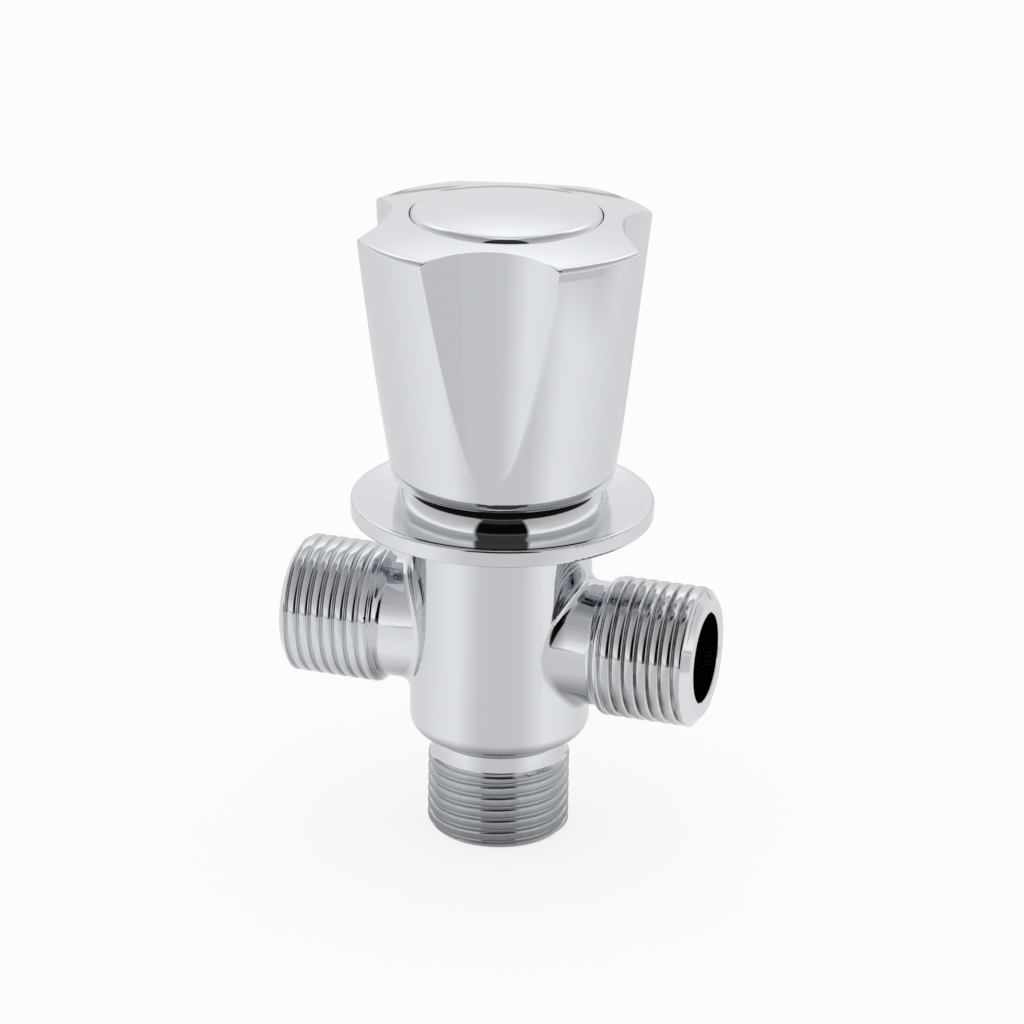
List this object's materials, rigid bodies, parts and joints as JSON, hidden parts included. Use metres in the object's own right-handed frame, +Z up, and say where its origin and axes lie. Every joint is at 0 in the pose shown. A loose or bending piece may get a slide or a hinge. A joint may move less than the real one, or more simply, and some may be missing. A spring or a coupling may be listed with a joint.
{
  "type": "three-way stopcock",
  "caption": "Chrome three-way stopcock: a tee of threaded pipe ends under a round cover flange, with a fluted quarter-turn handle on top.",
  "frame": {"origin": "middle of the inlet spigot's end face, at the foot of the part", "axes": "+Z up along the spindle, from the inlet to the handle's cap; +X along the outlet that points right; +Y back, away from the front of the tee"},
  "size_m": [0.0624, 0.0436, 0.0957],
  "materials": {
    "chrome": "polished chrome plate",
    "brass": "turned brass",
    "rubber": "moulded rubber",
    "plastic": "natural white plastic",
    "fibre": "pressed fibre",
    "ceramic": "lapped ceramic",
    "steel": "stainless steel"
  },
  "bodies": {
    "valve": {"valve_body": "chrome", "cover_flange": "chrome", "flange_gasket": "fibre", "bonnet_collar": "chrome", "cartridge_bonnet": "brass", "bonnet_seal": "rubber", "seat_seal": "rubber", "seal_support_ring": "plastic", "fixed_ceramic_disc": "ceramic"},
    "handle_set": {"handle": "chrome", "handle_cap": "chrome", "handle_insert": "brass", "handle_screw": "steel", "spring_washer": "steel", "spindle": "brass", "spindle_clip": "steel", "travel_stop_ring": "brass", "spindle_ring_lower": "rubber", "spindle_ring_upper": "rubber", "thrust_washer": "plastic", "moving_ceramic_disc": "ceramic"}
  },
  "joints": [
    {"name": "handle_turn", "type": "hinge", "parent": "valve", "child": "handle_set", "pos_m": [0, 0, 0.05], "axis": [0, 0, 1], "range_deg": [0, 90]}
  ]
}
